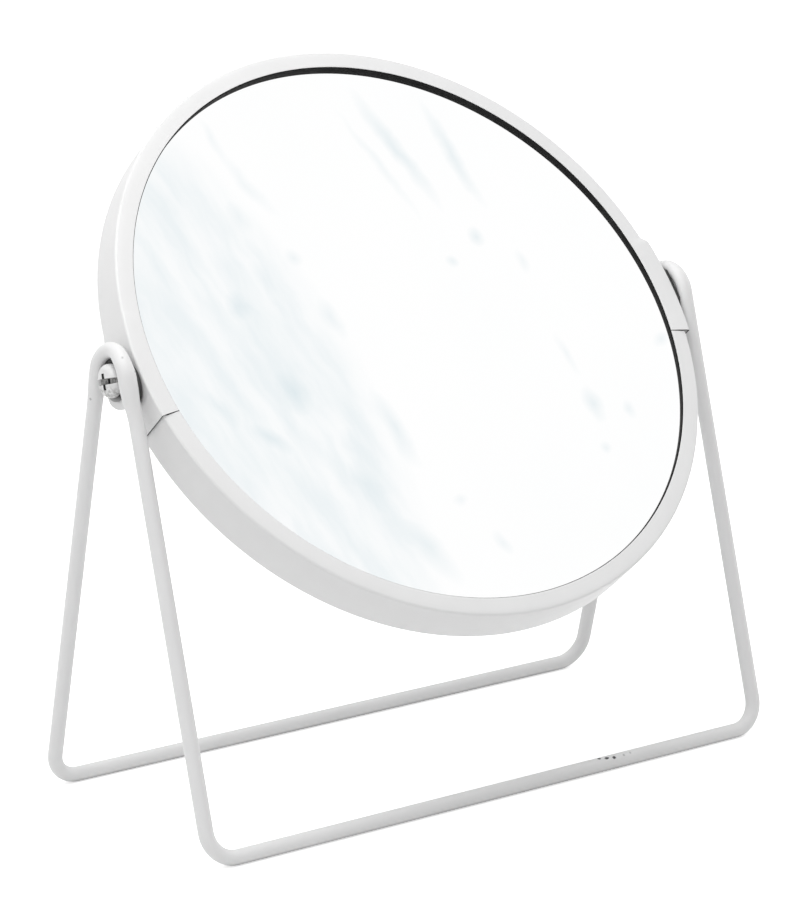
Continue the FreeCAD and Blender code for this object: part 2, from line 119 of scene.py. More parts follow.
# Mirror head, about its own axis, with the front towards -Y
TILT = radians(39.4)
HEAD_PLACE = PIVOT_PLACE @ Matrix.Rotation(-TILT, 4, "X")
RIM_RADIUS = 85.0
RIM_HALF_DEPTH = 6.5
RIM_SHEET = 0.5
LIP_RADIUS = 80.2
LIP_RISE = LIP_RADIUS + 2.0
LIP_INSIDE = RIM_HALF_DEPTH - RIM_SHEET
LIP_ROUND = 0.06
LIP_ROUND_INSIDE = 0.42
LIP_SLOPE_SHARES = (0.3, 0.65, 1)
BEND_INSIDE = 0.15
FLANGE_CROWN = 0.12
CROWN_WIDTH = 1.7
SOCKET_GROW = 1.15
SOCKET_RISE = 0.55
LEFT_SWELL = 0.55
LEFT_QUICK_SHARE = 0.4
SOCKET_HALF = 14.7 / RIM_RADIUS
SOCKET_TOP = 15.9 / RIM_RADIUS
JOGGLE = 2.4 / RIM_RADIUS
WALL_JOGGLE = 7.0 / RIM_RADIUS
SLOW_JOGGLE = 15.9 / RIM_RADIUS
SOCKET_END_GAP = 5.8 / RIM_RADIUS
TONGUE_EDGE = LIP_RISE + 2.1
LIP_SEAM = 0.22 / RIM_RADIUS
LIP_END = 0.00001
GLASS_FRONT = 5.25
GLASS_THICKNESS = 2.0
GLASS_RADIUS = 82.9
GROUND_EDGE = 0.3
ASKEW_ANGLE = 0.0056
ASKEW_AXIS = (-0.966, 0, -0.259)
GLASS_ASKEW = Matrix.Rotation(ASKEW_ANGLE, 3, ASKEW_AXIS)
MAGNIFIER_SAG = 4.6
COLLAR_OUTSIDE = 80.1
COLLAR_INSIDE = 79.97
COLLAR_EDGE = 6.2
COLLAR_ROUND = 0.1
GASKET_OUTSIDE = 84.35

# Finishes: the range that most noise falls in, and lengths in millimetres
NOISE_LOW = 0.3
NOISE_HIGH = 0.7
PEEL_DEPTH = 0.05
CHIP_SHAKE = 0.6
CHIP_STEEL = (0.045, 0.045, 0.05)
# Painted shade greying the stand wire where it rests on the table: the height it reaches and its grey
CONTACT_SHADE_HEIGHT = 1.3
CONTACT_SHADE_GREY = (0.2, 0.2, 0.2)
# Lowest height of the painted shade on the screw heads
SHADE_BOTTOM = PIVOT_HEIGHT - 2.5
# Heights over which the blackened spring washers turn lighter grey towards their lower edge
GREY_EDGE_BOTTOM = PIVOT_HEIGHT - 5
GREY_EDGE_TOP = PIVOT_HEIGHT - 3.5
WHITE = (1, 1, 1)

# Chips in the stand's coat: place, reach along each axis, and darkness
CHIPS = [
    ((33.1, -39.9, 3.96), (0.7, 0.6, 0.6), 1), ((35.3, -40.4, 3.79), (1.0, 0.6, 0.6), 1),
    ((37.6, -40.7, 3.61), (0.8, 0.6, 0.6), 1), ((40.9, -40.7, 3.57), (0.5, 0.5, 0.5), 0.4),
    ((43.3, -40.5, 3.73), (0.5, 0.5, 0.5), 0.3), ((-90.24, -6.29, 124.26), (0.5, 0.5, 0.5), 0.35),
    ((-88.27, -8.65, 121.01), (0.5, 0.5, 0.5), 0.35), ((-91.08, 8.79, 111.36), (0.5, 0.5, 0.5), 0.4),
]

# Photograph's camera: turned round the pivot, in degrees, millimetres and pixels
VIEW_AZIMUTH = radians(-35.1567)
VIEW_ELEVATION = radians(13.6151)
VIEW_ROLL = radians(-0.726)
VIEW_DISTANCE = 874.05
VIEW_FOCAL = 3319.699
PIVOT_PIXEL = (406.298, 334.466)
PHOTO_SIZE = (799, 900)
SENSOR_WIDTH = 36
NEAR_LIMIT = 0.01

# Card of clouds that the mirror shows: its distance from the glass in millimetres, and
# its half width and the shake of the clouds' edges in metres
CARD_DISTANCE = 1000.0
CARD_HALF = 0.32
CLOUD_SHAKE = 0.008
CLOUD_COLOUR = (0.71, 0.80, 0.835)

# Clouds: pixels right of the pivot, pixels above it, half length, half width, degrees and depth.
# The bank is broken up by wisps. Its edge is where its cover comes in.
CLOUD_BANK = (-190, -60, 520, 205, -57, 0.36)
BANK_EDGE = (0.3, 0.46)
WISP_LENGTH = 110
WISP_WIDTH = 20
WISP_NOISE = (0.36, 0.64)
WISP_COVER = (0.4, 1.3)
CLOUDS = [
    (-12, 184, 80, 9, -52, 0.6), (44, 180, 66, 8, -58, 0.55), (-29, 170, 74, 5, -51, 0.3),
    (68, 100, 12, 7, -55, 0.55), (44, 74, 8, 7, -50, 0.45), (114, 73, 14, 6, -55, 0.3),
    (186, -69, 22, 9, -58, 0.55), (160, -18, 26, 5, -58, 0.3), (223, -72, 11, 6, -55, 0.4),
    (200, -112, 9, 6, -50, 0.4), (252, -4, 9, 9, 0, 0.4), (54, -164, 8, 8, 0, 0.3),
    (97, -207, 16, 6, -50, 0.35), (22, -213, 50, 14, -45, 0.45), (-167, 28, 18, 13, -50, 0.4),
    (-144, 57, 22, 10, -50, 0.3), (-112, -58, 28, 15, -50, 0.45), (-132, -104, 28, 10, -35, 0.45),
    (-184, -75, 28, 10, -40, 0.3), (-167, 117, 22, 10, -60, 0.3), (-112, 77, 14, 8, -50, 0.4),
    (-75, 17, 26, 10, -55, 0.4), (-38, -150, 34, 13, -55, 0.45), (-12, -92, 50, 11, -58, 0.5),
    (-52, -115, 26, 10, -55, 0.3), (-195, 194, 26, 6, -60, 0.3), (-160, 150, 50, 7, -48, 0.3),
]

# Studio, in metres and watts
FLOOR_HALF = 6
FLOOR_WHITE = 0.85
FLOOR_LIFT = 0.6
ROOM_LIGHT = 0.5
STAGE_MIDDLE = (0, 0, 0.1)

# Lamps: spot, target, width and power
LAMPS = {
    "top_light": ((-0.2, 0, 1.3), STAGE_MIDDLE, 1.6, 10.6),
    "left_light": ((-0.8, -0.2, 0.75), STAGE_MIDDLE, 0.8, 1.4),
    "right_light": ((1.0, -0.1, 0.35), STAGE_MIDDLE, 0.8, 1.6),
    "near_light": ((-0.13, -0.02, 0.36), (-0.05, 0.03, 0.16), 0.1, 0.11),
}


def finish_piece(bm, name, finishes, body, nodes, place=None, sharp=35):
    """Make a mesh piece of a bmesh in millimetres and hang it on its body."""
    if place:
        bmesh.ops.transform(bm, matrix=place, verts=bm.verts)
    bmesh.ops.scale(bm, vec=(MM, MM, MM), verts=bm.verts)
    mesh = bpy.data.meshes.new(name)
    bm.to_mesh(mesh)
    bm.free()
    mesh.shade_smooth()
    mesh.set_sharp_from_angle(angle=radians(sharp))
    for finish in finishes:
        mesh.materials.append(finish)
    piece = bpy.data.objects.new(name, mesh)
    bpy.context.scene.collection.objects.link(piece)
    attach(piece, body)
    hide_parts(*nodes)
    return piece


def close_up(bm):
    """Merge what lies on itself and turn the faces outwards."""
    bmesh.ops.remove_doubles(bm, verts=bm.verts, dist=MERGE_DISTANCE)
    bmesh.ops.recalc_face_normals(bm, faces=bm.faces)


def edges_of(geometry):
    """The edges among what an operator gives back."""
    return [item for item in geometry if isinstance(item, bmesh.types.BMEdge)]


def verts_of(geometry):
    """The vertices among what an operator gives back."""
    return [item for item in geometry if isinstance(item, bmesh.types.BMVert)]


def outline(bm, corners):
    """Closed outline through corners (point, rounding), left as edges."""
    verts = [bm.verts.new(point) for point, _ in corners]
    bm.faces.new(verts)
    for vert, (_, rounding) in zip(verts, corners):
        if rounding:
            bmesh.ops.bevel(bm, geom=[vert], offset=rounding, affect="VERTICES", segments=6,
                            profile=0.5, material=-1)
    bmesh.ops.delete(bm, geom=bm.faces[:], context="FACES_ONLY")
    return bm.edges[:]


def spin_on(bm, edges, axis, angle, steps, centre=(0, 0, 0)):
    """Sweep edges round an axis and return the edges at the far end."""
    swept = bmesh.ops.spin(bm, geom=edges, cent=centre, axis=axis, angle=angle, steps=steps)
    return edges_of(swept["geom_last"])


def turned(corners, axis, steps):
    """Ring turned all round from a closed outline."""
    bm = bmesh.new()
    edges = outline(bm, corners)
    bmesh.ops.spin(bm, geom=edges, cent=(0, 0, 0), axis=axis, angle=2 * pi, steps=steps, use_merge=True)
    close_up(bm)
    return bm


class BentWire:
    """Round wire that is run out straight and bent, from the end that it starts with."""

    def __init__(self, start, direction):
        self.bm = bmesh.new()
        self.point = Vector(start)
        self.direction = Vector(direction)
        place = Matrix.Translation(start) @ self.direction.to_track_quat("Z", "Y").to_matrix().to_4x4()
        bmesh.ops.create_circle(self.bm, segments=WIRE_SIDES, radius=WIRE_RADIUS, matrix=place)
        self.ring = self.bm.edges[:]

    def straight(self, length, cuts):
        """Run the wire out along its direction."""
        for _ in range(cuts):
            step = self.direction * (length / cuts)
            out = bmesh.ops.extrude_edge_only(self.bm, edges=self.ring)["geom"]
            verts = set(verts_of(out))
            bmesh.ops.translate(self.bm, vec=step, verts=list(verts))
            self.ring = [edge for edge in edges_of(out) if verts.issuperset(edge.verts)]
            self.point += step

    def bend(self, centre, axis, angle, steps):
        """Bend the wire round an axis through a centre."""
        self.ring = spin_on(self.bm, self.ring, axis, angle, steps, centre)
        turn = Matrix.Rotation(angle, 3, axis)
        self.point = turn @ (self.point - Vector(centre)) + Vector(centre)
        self.direction = turn @ self.direction

    def corner(self, towards, radius, steps=14):
        """Bend the wire by a right angle towards a direction."""
        towards = Vector(towards)
        self.bend(self.point + towards * radius, self.direction.cross(towards), pi / 2, steps)


def smooth_step(low, high, value):
    """Smooth rise from 0 at low to 1 at high."""
    share = min(max((value - low) / (high - low), 0), 1)
    return share * share * (3 - 2 * share)


def work_left_eye(bm):
    """Thicken the left eye at its shoulders, where bending has squeezed the wire, and bow its front leg out.

    Its inner side stays clear of the screw's washer.
    """
    bm.normal_update()
    for vert in (vert for vert in bm.verts if vert.co.x < 0):
        height = vert.co.z - PIVOT_HEIGHT
        swell = smooth_step(*SHOULDER_IN, height) * (1 - smooth_step(*SHOULDER_OUT, height))
        swell *= smooth_step(*SHOULDER_ASIDE, abs(vert.co.y))
        bow = smooth_step(*BOW_IN, height) * (1 - smooth_step(*BOW_OUT, height))
        bow *= smooth_step(*BOW_ASIDE, -vert.co.y)
        vert.co += vert.normal * (SHOULDER_SWELL * swell)
        vert.co.x -= EYE_BOW * bow
        outward = Vector((0, vert.co.y, vert.co.z - PIVOT_HEIGHT))
        vert.co += outward.normalized() * max(0, EYE_CLEAR - outward.length)


def stand_loop(coat):
    """One loop of wire from its butt weld on the front bar, through four corners and two eyes."""
    lean_in = Vector((0, sin(LEG_LEAN), cos(LEG_LEAN)))
    lean_out = Vector((0, -sin(LEG_LEAN), cos(LEG_LEAN)))
    leg = LEG_LENGTH - CORNER_RADIUS
    bar_end = WIRE_PLANE - CORNER_RADIUS
    eye_turn = pi - 2 * LEG_LEAN
    wire = BentWire((WELD_AT, -BAR_OFFSET, WIRE_RADIUS), X_AXIS)
    wire.straight(bar_end - WELD_AT, 12)
    wire.corner(lean_in, CORNER_RADIUS)
    wire.straight(leg, LEG_CUTS)
    wire.bend((WIRE_PLANE, 0, PIVOT_HEIGHT), -X_AXIS, eye_turn, EYE_STEPS)
    wire.straight(leg, LEG_CUTS)
    wire.corner(-X_AXIS, CORNER_RADIUS)
    wire.straight(2 * bar_end, 24)
    wire.corner(lean_out, CORNER_RADIUS)
    wire.straight(leg, LEG_CUTS)
    wire.bend((-WIRE_PLANE, 0, PIVOT_HEIGHT), X_AXIS, eye_turn, EYE_STEPS)
    wire.straight(leg, LEG_CUTS)
    wire.corner(X_AXIS, CORNER_RADIUS)
    wire.straight(WELD_AT + bar_end, 18)
    close_up(wire.bm)
    work_left_eye(wire.bm)
    return finish_piece(wire.bm, "stand_loop", [coat], "stand", ["stand_wire"])


def pivot_plate(hand, side, coat):
    """Plate brazed into an eye: round inside the bend, straight along the legs, drawn in to a round tail."""
    bm = bmesh.new()
    shoulder = Vector((0, PLATE_RADIUS * cos(LEG_LEAN), PLATE_RADIUS * sin(LEG_LEAN)))
    hip = shoulder + Vector((0, sin(LEG_LEAN), -cos(LEG_LEAN))) * PLATE_SIDE
    tail = Vector((0, PLATE_TAIL * cos(PLATE_TAIL_TURN), -PLATE_TAIL * sin(PLATE_TAIL_TURN)))
    ends = []
    for corner, turn in ((shoulder, pi - 2 * LEG_LEAN), (tail, 2 * PLATE_TAIL_TURN - pi)):
        first = bm.verts.new(corner)
        arc = bmesh.ops.spin(bm, geom=[first], cent=(0, 0, 0), axis=X_AXIS, angle=turn, steps=36)
        ends.append((first, verts_of(arc["geom_last"])[0]))
    for top, low, turn in zip(*ends, (1, -1)):
        middle = bm.verts.new((0, turn * hip.y, hip.z))
        bm.edges.new((top, middle))
        bm.edges.new((middle, low))
    bmesh.ops.create_circle(bm, segments=48, radius=SCREW_RADIUS + SCREW_CLEARANCE,
                            matrix=Matrix.Rotation(pi / 2, 4, "Y"))
    bmesh.ops.triangle_fill(bm, use_beauty=True, edges=bm.edges[:])
    bmesh.ops.dissolve_limit(bm, angle_limit=FLAT_ANGLE, verts=bm.verts[:], edges=bm.edges[:],
                             delimit={"NORMAL"})
    bmesh.ops.translate(bm, verts=bm.verts, vec=(side * PLATE_INNER, 0, 0))
    out = bmesh.ops.extrude_face_region(bm, geom=bm.faces[:])["geom"]
    bmesh.ops.translate(bm, vec=(side * (PLATE_FACE - PLATE_INNER), 0, 0), verts=verts_of(out))
    close_up(bm)
    rims = [edge for edge in bm.edges if edge.is_manifold and edge.calc_face_angle() > SHARP_EDGE]
    bmesh.ops.bevel(bm, geom=rims, offset=PLATE_EDGE, affect="EDGES", segments=3, profile=0.5, material=-1)
    return finish_piece(bm, f"eye_plate_{hand}", [coat], "stand",
                        [f"pivot_plate_{hand}"], PIVOT_PLACE)


def channel_corners():
    """U section of the rim at the right of the pivot axis, with its two bends and its lips rounded below."""
    outside = BEND_INSIDE + RIM_SHEET
    inner_wall = RIM_RADIUS - RIM_SHEET
    slope = [LIP_RADIUS + share * (LIP_RISE - LIP_RADIUS) for share in LIP_SLOPE_SHARES]
    half_section = [((LIP_RADIUS, RIM_HALF_DEPTH, 0), LIP_ROUND)]
    half_section += [((radius, RIM_HALF_DEPTH, 0), 0) for radius in slope]
    half_section += [((RIM_RADIUS - CROWN_WIDTH, RIM_HALF_DEPTH, 0), 0)]
    half_section += [((RIM_RADIUS, RIM_HALF_DEPTH - FLANGE_CROWN, 0), outside)]
    inside = [((inner_wall, LIP_INSIDE, 0), BEND_INSIDE)]
    inside += [((radius, LIP_INSIDE, 0), 0) for radius in reversed(slope)]
    inside += [((LIP_RADIUS, LIP_INSIDE, 0), LIP_ROUND_INSIDE)]
    front = [((x, -y, z), rounding) for (x, y, z), rounding in half_section]
    front_inside = [((x, -y, z), rounding) for (x, y, z), rounding in inside]
    return front + half_section[::-1] + inside[::-1] + front_inside


def swept_channel(start, spans):
    """Rim channel from an angle above the pivot axis through spans of (angle, steps), with closed ends."""
    bm = bmesh.new()
    edges = outline(bm, channel_corners())
    bmesh.ops.rotate(bm, verts=bm.verts, cent=(0, 0, 0), matrix=Matrix.Rotation(-start, 3, "Y"))
    first = edges
    for angle, steps in spans:
        edges = spin_on(bm, edges, -Y_AXIS, angle, steps)
    # The end faces take the second finish, painted shade for the seams
    for ring in (first, edges):
        for face in bmesh.ops.edgeloop_fill(bm, edges=ring)["faces"]:
            face.material_index = 1
    return bm


def set_radius(vert, radius):
    """Move a vertex to a radius from the head's axis."""
    share = radius / hypot(vert.co.x, vert.co.z)
    vert.co.x *= share
    vert.co.z *= share


def socket_swell(above, depth, left):
    """Rise and growth of a socket at an angle above the pivot axis. The left one swells less, and slowly."""
    if left:
        slow = 1 - smooth_step(SOCKET_TOP - SLOW_JOGGLE, SOCKET_TOP, above)
        quick = 1 - smooth_step(SOCKET_TOP - JOGGLE, SOCKET_TOP, above)
        mixed = LEFT_QUICK_SHARE * quick + (1 - LEFT_QUICK_SHARE) * slow
        return LEFT_SWELL * mixed, LEFT_SWELL * slow
    from_face = 1 - min(depth / LIP_INSIDE, 1)
    length = JOGGLE + (WALL_JOGGLE - JOGGLE) * from_face
    swell = 1 - smooth_step(SOCKET_TOP - length, SOCKET_TOP, above)
    return SOCKET_RISE * swell, SOCKET_GROW * swell


def rim_arch(coat, seam_shade):
    """Upper half of the rim. Its ends swell out into sockets, with faces that slope down to their lips."""
    ends = [
        (SOCKET_HALF + SOCKET_TOP - SLOW_JOGGLE, 12),
        (SLOW_JOGGLE - WALL_JOGGLE, 14),
        (WALL_JOGGLE, 28),
    ]
    bm = swept_channel(-SOCKET_HALF, ends + [(pi - 2 * SOCKET_TOP, 140)] + ends[::-1])
    for vert in bm.verts:
        radius = hypot(vert.co.x, vert.co.z)
        above = atan2(vert.co.z, abs(vert.co.x))
        rise, growth = socket_swell(above, abs(vert.co.y), vert.co.x < 0)
        rise *= min((radius - LIP_RADIUS) / (RIM_RADIUS - LIP_RADIUS), 1)
        vert.co.y += rise if vert.co.y > 0 else -rise
        if radius > LIP_RISE + TOUCHING:
            set_radius(vert, radius + growth)
    close_up(bm)
    return finish_piece(bm, "rim_arch", [coat, seam_shade], "mirror_head", ["rim_upper"], HEAD_PLACE)


def rim_bow(coat, seam_shade):
    """Lower half of the rim. Its ends lose their lips and reach up into the sockets as tongues."""
    inserted = SOCKET_HALF - JOGGLE - SOCKET_END_GAP
    seam = SOCKET_HALF + LIP_SEAM
    tongue = [(inserted + seam, 20), (LIP_END, 1)]
    bm = swept_channel(pi - inserted, tongue + [(pi - 2 * (seam + LIP_END), 150)] + tongue[::-1])
    for vert in bm.verts:
        above = atan2(vert.co.z, abs(vert.co.x))
        if above > -seam - LIP_END / 2 and hypot(vert.co.x, vert.co.z) < TONGUE_EDGE:
            set_radius(vert, TONGUE_EDGE)
    close_up(bm)
    return finish_piece(bm, "rim_bow", [coat, seam_shade], "mirror_head", ["rim_lower"], HEAD_PLACE)


def driver_cutter(length, width, depth, side):
    """Tapered arm of the driver recess, to be cut out of a screw head."""
    bm = bmesh.new()
    bmesh.ops.create_cube(bm, size=1)
    bmesh.ops.scale(bm, vec=(depth * 2, length, width), verts=bm.verts)
    floor = [vert for vert in bm.verts if vert.co.x * side < 0]
    bmesh.ops.scale(bm, vec=RECESS_TAPER, verts=floor)
    return bm


def as_object(bm, name, material):
    """Plain object of a bmesh, for cutters and for the stage."""
    mesh = bpy.data.meshes.new(name)
    bm.to_mesh(mesh)
    bm.free()
    mesh.materials.append(material)
    made = bpy.data.objects.new(name, mesh)
    bpy.context.scene.collection.objects.link(made)
    return made


def screw_shape(side):
    """Screw turned from an outline of its shank and its rounded head."""
    bm = bmesh.new()
    profile = [
        (SCREW_TIP, 0, 0), (SCREW_TIP, SCREW_RADIUS, TIP_ROUND), (HEAD_SEAT, SCREW_RADIUS, 0),
        (HEAD_SEAT, HEAD_RADIUS, SEAT_ROUND), (HEAD_EDGE, HEAD_RADIUS, EDGE_ROUND),
        (HEAD_TOP, HEAD_FLAT, TOP_ROUND), (HEAD_TOP, 0, 0),
    ]
    edges = outline(bm, [((side * along, radius, 0), rounding) for along, radius, rounding in profile])
    on_axis = [edge for edge in edges if all(abs(vert.co.y) < TOUCHING for vert in edge.verts)]
    bmesh.ops.delete(bm, geom=on_axis, context="EDGES")
    bmesh.ops.spin(bm, geom=bm.edges[:], cent=(0, 0, 0), axis=X_AXIS, angle=2 * pi, steps=72, use_merge=True)
    close_up(bm)
    return bm


def pivot_screw(hand, side, paint, slot_shade, cross_shade):
    """Pan-head screw with a slot right across its head and a short cross arm."""
    screw = as_object(screw_shape(side), f"screw_{hand}_blank", paint)
    cutters = []
    # The cut faces of the slot and of the cross take finishes of painted shade
    arms = (("slot", SLOT_LENGTH, SLOT_WIDTH, SLOT_DEPTH, RECESS_TURN, slot_shade),
            ("cross", CROSS_LENGTH, CROSS_WIDTH, CROSS_DEPTH, RECESS_TURN + pi / 2, cross_shade))
    for name, length, width, depth, turn, finish in arms:
        bm = driver_cutter(length, width, depth, side)
        bmesh.ops.rotate(bm, verts=bm.verts, cent=(0, 0, 0), matrix=Matrix.Rotation(turn, 3, "X"))
        bmesh.ops.translate(bm, verts=bm.verts, vec=(side * HEAD_TOP, 0, 0))
        cutters.append(as_object(bm, f"screw_{hand}_{name}", finish))
    for cutter in cutters:
        recess = screw.modifiers.new("recess", "BOOLEAN")
        recess.object = cutter
        recess.operation = "DIFFERENCE"
        recess.solver = "EXACT"
        recess.material_mode = "TRANSFER"
    soften = screw.modifiers.new("soften", "BEVEL")
    soften.width = RECESS_EDGE
    soften.segments = 2
    soften.limit_method = "ANGLE"
    soften.angle_limit = RECESS_SHARP
    graph = bpy.context.evaluated_depsgraph_get()
    mesh = bpy.data.meshes.new_from_object(screw.evaluated_get(graph))
    for spare in [screw] + cutters:
        bpy.data.objects.remove(spare)
    bm = bmesh.new()
    bm.from_mesh(mesh)
    bpy.data.meshes.remove(mesh)
    return finish_piece(bm, f"screw_{hand}", [paint, slot_shade, cross_shade], "mirror_head",
                        [f"pivot_screw_{hand}"], PIVOT_PLACE, 30)


def friction_washer(hand, side, nylon_and_shade):
    """Washer with flats, so that it stands no prouder than the faces of the rim. The left one hangs low. Its
    black is partly painted shade beside the eye.
    """
    inner, outer, bore, radius, hang = WASHER_SHAPES[hand]
    bm = turned([
        ((side * inner, bore, 0), WASHER_ROUND),
        ((side * inner, radius, 0), WASHER_ROUND),
        ((side * outer, radius, 0), WASHER_ROUND),
        ((side * outer, bore, 0), WASHER_ROUND),
    ], X_AXIS, 64)
    bmesh.ops.translate(bm, vec=hang, verts=bm.verts)
    for facing in (1, -1):
        cut = bmesh.ops.bisect_plane(bm, geom=bm.verts[:] + bm.edges[:] + bm.faces[:], clear_outer=True,
                                     plane_co=(0, facing * WASHER_FLAT, 0), plane_no=(0, facing, 0))
        if cut["geom_cut"]:
            bmesh.ops.edgeloop_fill(bm, edges=edges_of(cut["geom_cut"]))
    close_up(bm)
    return finish_piece(bm, f"nylon_washer_{hand}", [nylon_and_shade], "mirror_head",
                        [f"friction_washer_{hand}"], HEAD_PLACE)


def set_askew(bm):
    """Lean what touches the front of the plain mirror, which lies a little askew in the rim."""
    seat = (0, -GLASS_FRONT, 0)
    touching = [vert for vert in bm.verts if abs(vert.co.y + GLASS_FRONT) < TOUCHING]
    bmesh.ops.rotate(bm, verts=touching, cent=seat, matrix=GLASS_ASKEW)


def glass_gasket(name, facing, node, rubber):
    """Rubber ring under a lip, with its collar standing up inside the lip's edge."""
    bm = turned([
        ((COLLAR_INSIDE, facing * GLASS_FRONT, 0), 0),
        ((GASKET_OUTSIDE, facing * GLASS_FRONT, 0), 0),
        ((GASKET_OUTSIDE, facing * LIP_INSIDE, 0), 0),
        ((COLLAR_OUTSIDE, facing * LIP_INSIDE, 0), 0),
        ((COLLAR_OUTSIDE, facing * COLLAR_EDGE, 0), COLLAR_ROUND),
        ((COLLAR_INSIDE, facing * COLLAR_EDGE, 0), COLLAR_ROUND),
    ], Y_AXIS, 256)
    set_askew(bm)
    return finish_piece(bm, name, [rubber], "mirror_head", [node], HEAD_PLACE)


def plain_mirror(silvered):
    """Flat glass with ground edges."""
    bm = bmesh.new()
    place = Matrix.Translation((0, -(GLASS_FRONT - GLASS_THICKNESS / 2), 0)) @ Matrix.Rotation(pi / 2, 4, "X")
    bmesh.ops.create_cone(bm, cap_ends=True, segments=256, radius1=GLASS_RADIUS, radius2=GLASS_RADIUS,
                          depth=GLASS_THICKNESS, matrix=place)
    edges = [edge for edge in bm.edges if edge.calc_face_angle() > SHARP_EDGE]
    bmesh.ops.bevel(bm, geom=edges, offset=GROUND_EDGE, affect="EDGES", segments=2, profile=0.5, material=-1)
    close_up(bm)
    set_askew(bm)
    return finish_piece(bm, "plain_mirror", [silvered], "mirror_head",
                        ["flat_glass"], HEAD_PLACE, 10)


def magnifying_mirror(silvered):
    """Concave glass on the back, swept from the curve of its two faces."""
    bm = bmesh.new()
    curve = (GLASS_RADIUS ** 2 + MAGNIFIER_SAG ** 2) / (2 * MAGNIFIER_SAG)
    centre = (0, GLASS_FRONT - MAGNIFIER_SAG + curve, 0)
    opening = asin(GLASS_RADIUS / curve)
    shown = bm.verts.new((0, GLASS_FRONT - MAGNIFIER_SAG, 0))
    back = bm.verts.new((0, GLASS_FRONT - MAGNIFIER_SAG - GLASS_THICKNESS, 0))
    ends = []
    for vert in (shown, back):
        swept = bmesh.ops.spin(bm, geom=[vert], cent=centre, axis=Z_AXIS, angle=opening, steps=24)
        ends += verts_of(swept["geom_last"])
    bm.edges.new(ends)
    bmesh.ops.spin(bm, geom=bm.edges[:], cent=(0, 0, 0), axis=Y_AXIS, angle=2 * pi, steps=192, use_merge=True)
    close_up(bm)
    return finish_piece(bm, "magnifying_mirror", [silvered], "mirror_head",
                        ["magnifying_glass"], HEAD_PLACE)


# Finishes
def new_finish(name, **values):
    """Material with its shader's plain values set, and its tree and shader."""
    finish = bpy.data.materials.new(name)
    finish.use_nodes = True
    shader = finish.node_tree.nodes["Principled BSDF"]
    for socket, value in values.items():
        shader.inputs[socket.replace("_", " ")].default_value = value
    return finish, finish.node_tree, shader


def add(tree, kind, inputs=None, **settings):
    """Node with its settings, and with its inputs set or linked."""
    made = tree.nodes.new(kind)
    for key, value in settings.items():
        setattr(made, key, value)
    for key, value in (inputs or {}).items():
        if isinstance(value, bpy.types.NodeSocket):
            tree.links.new(value, made.inputs[key])
        else:
            made.inputs[key].default_value = value
    return made


def noise(tree, scale, detail=2, stretch=(1, 1, 1)):
    """Noise over the object's own coordinates, in patches of about 1/scale metres."""
    place = add(tree, "ShaderNodeTexCoord").outputs["Object"]
    mapped = add(tree, "ShaderNodeMapping", {"Vector": place, "Scale": stretch})
    texture = add(tree, "ShaderNodeTexNoise", {"Vector": mapped.outputs["Vector"], "Scale": scale,
                                               "Detail": detail})
    return texture.outputs["Fac"]


def ramp(tree, value, low, high, first, last):
    """Colour that goes from first to last as value goes from low to high."""
    made = add(tree, "ShaderNodeValToRGB", {"Fac": value})
    for stop, position, colour in zip(made.color_ramp.elements, (low, high), (first, last)):
        stop.position = position
        stop.color = (*colour, 1)
    return made.outputs["Color"]


def between(tree, value, low, high, first, last):
    """Number that goes from first to last as value goes from low to high."""
    made = add(tree, "ShaderNodeMapRange", {"Value": value, "From Min": low, "From Max": high,
                                            "To Min": first, "To Max": last})
    return made.outputs["Result"]


def blend_colour(tree, share, first, last):
    """Colour that goes from first to last as share goes from 0 to 1."""
    made = add(tree, "ShaderNodeMix", data_type="RGBA")
    for key, value in ((0, share), (6, first), (7, last)):
        if isinstance(value, bpy.types.NodeSocket):
            tree.links.new(value, made.inputs[key])
        else:
            made.inputs[key].default_value = value if key == 0 else (*value, 1)
    return made.outputs[2]


def grey(level):
    return (level, level, level)


def mottled(tree, texture, first, last):
    """Colour that wanders between first and last with a noise."""
    return ramp(tree, texture, NOISE_LOW, NOISE_HIGH, first, last)


def coloured(tree, shader, colour):
    tree.links.new(colour, shader.inputs["Base Color"])


def roughened(tree, shader, texture, first, last):
    """Roughness that wanders between first and last with a noise."""
    rough = between(tree, texture, NOISE_LOW, NOISE_HIGH, first, last)
    tree.links.new(rough, shader.inputs["Roughness"])


def bumped(tree, shader, height, strength=0.2, depth=PEEL_DEPTH):
    """Fine relief of a depth in millimetres."""
    bump = add(tree, "ShaderNodeBump", {"Height": height, "Strength": strength, "Distance": depth * MM})
    tree.links.new(bump.outputs["Normal"], shader.inputs["Normal"])


def spot_at(tree, vector, place, reach, turn=0):
    """1 in the middle of a spot, falling to 0 at its reach along each axis."""
    mapped = add(tree, "ShaderNodeMapping", {"Vector": vector, "Location": place, "Rotation": (0, 0, turn),
                                             "Scale": reach}, vector_type="TEXTURE")
    spot = add(tree, "ShaderNodeTexGradient", {"Vector": mapped.outputs[0]}, gradient_type="SPHERICAL")
    return spot.outputs["Fac"]


def shaken(tree, scale, amount):
    """The object's own coordinates, disturbed by noise."""
    place = add(tree, "ShaderNodeTexCoord").outputs["Object"]
    texture = add(tree, "ShaderNodeTexNoise", {"Vector": place, "Scale": scale, "Detail": 3})
    return add(tree, "ShaderNodeVectorMath", {0: texture.outputs["Color"], 1: [amount] * 3, 2: place},
               operation="MULTIPLY_ADD").outputs[0]


def height_of(tree):
    """Height above the table with the mirror at rest, in metres."""
    place = add(tree, "ShaderNodeTexCoord").outputs["Object"]
    return add(tree, "ShaderNodeSeparateXYZ", {"Vector": place}).outputs["Z"]


